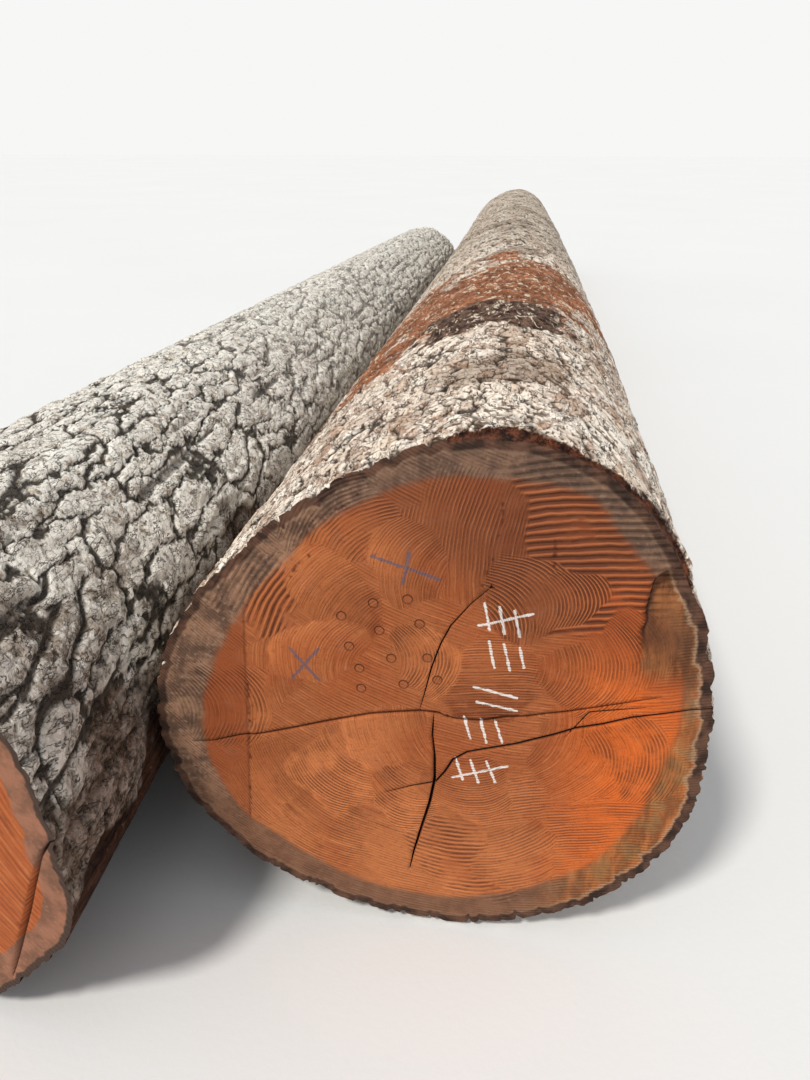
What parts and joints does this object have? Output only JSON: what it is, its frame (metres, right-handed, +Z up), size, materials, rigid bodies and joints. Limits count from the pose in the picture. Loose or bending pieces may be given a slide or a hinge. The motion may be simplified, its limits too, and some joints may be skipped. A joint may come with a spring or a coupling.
{
  "type": "stack of logs",
  "caption": "Large bark-covered hardwood logs lying side by side on the ground, tapered and slightly bowed, with sawn ends.",
  "frame": {"origin": "on the ground, in the middle of the rectangle that the two logs cover", "axes": "+Z up; +Y along the large right-hand log, from its near sawn end to its far end; +X to the right of someone who faces the near sawn ends"},
  "size_m": [2.1164, 10.6776, 1.1488],
  "materials": {
    "scaly_bark": "rough",
    "ridged_bark": "rough",
    "sawn_end": "rough sawn"
  },
  "bodies": {
    "root": {"log_right": "scaly_bark", "log_left": "ridged_bark"}
  },
  "joints": []
}
